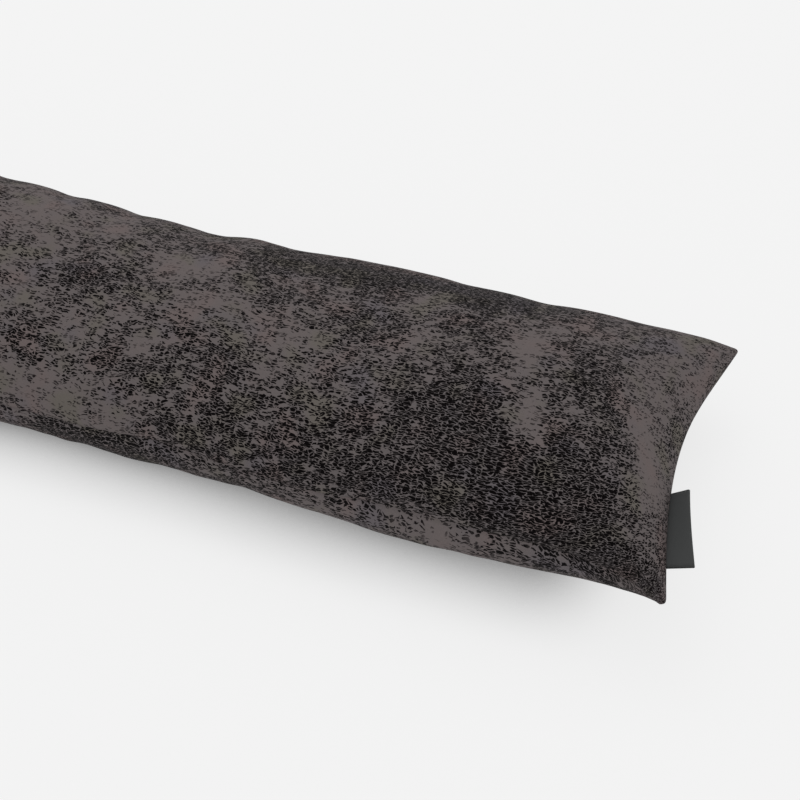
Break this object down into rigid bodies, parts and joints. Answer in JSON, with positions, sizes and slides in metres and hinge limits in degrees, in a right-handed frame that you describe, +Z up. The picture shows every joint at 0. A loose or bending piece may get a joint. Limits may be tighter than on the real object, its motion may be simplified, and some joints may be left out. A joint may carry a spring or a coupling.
{
  "type": "draught excluder cushion",
  "caption": "Long flat filled cushion of speckled cloth, with drawn-in ends, pointed corners and a folded tag in one end seam, laid along the foot of a door.",
  "frame": {"origin": "on the floor, in the flat underside, midway between the end corners and between the side seams", "axes": "+X along the length towards the end with the label, +Y across, +Z up from the floor"},
  "size_m": [0.9028, 0.1907, 0.0895],
  "materials": {
    "cushion_cloth": "matte suede-like cloth, taupe ground with a fine black speckle in soft clouds",
    "label_tape": "matte charcoal woven tape, bare"
  },
  "bodies": {
    "root": {"cushion": "cushion_cloth", "label": "label_tape"}
  },
  "joints": []
}
